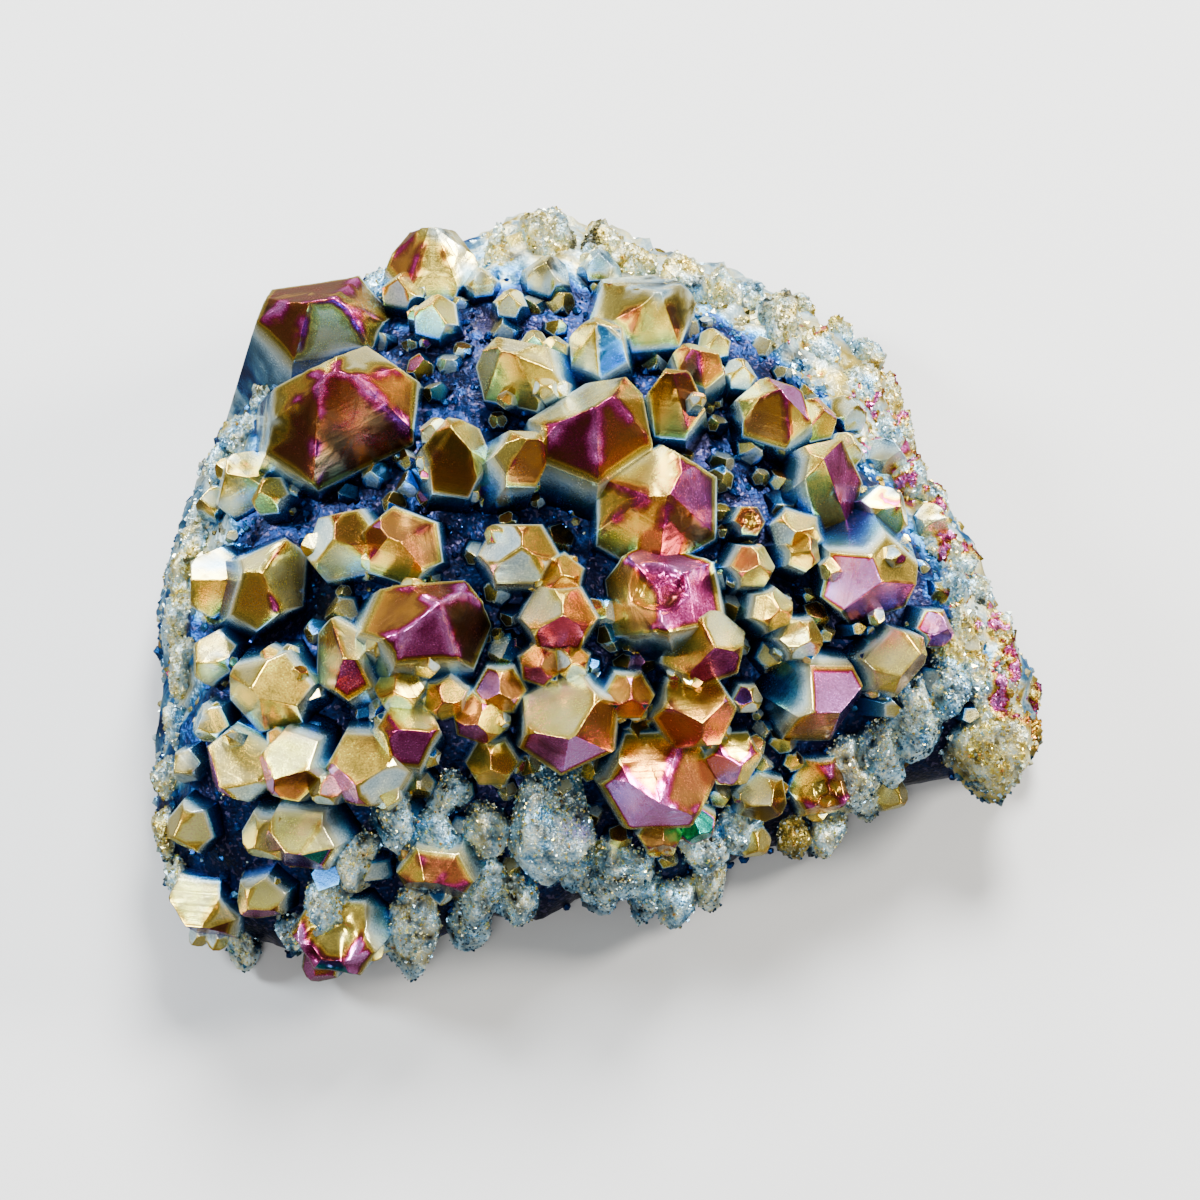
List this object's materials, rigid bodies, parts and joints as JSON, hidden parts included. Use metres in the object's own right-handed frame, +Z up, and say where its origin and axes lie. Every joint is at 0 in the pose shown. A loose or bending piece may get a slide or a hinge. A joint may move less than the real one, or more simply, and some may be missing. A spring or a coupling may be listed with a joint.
{
  "type": "crystal cluster",
  "caption": "Domed cluster of stubby six-sided quartz points with an iridescent metallic coating, cut flat underneath, for display.",
  "frame": {"origin": "middle of the flat underside, under the centre of the bounding box", "axes": "+X along the width, +Y to the back, +Z up out of the flat underside"},
  "size_m": [0.065, 0.059, 0.0272],
  "materials": {
    "aura_coated_quartz": "iridescent metal film on quartz: blue in the recesses, gold, orange and magenta on the tips"
  },
  "bodies": {
    "root": {"quartz_cluster": "aura_coated_quartz"}
  },
  "joints": []
}
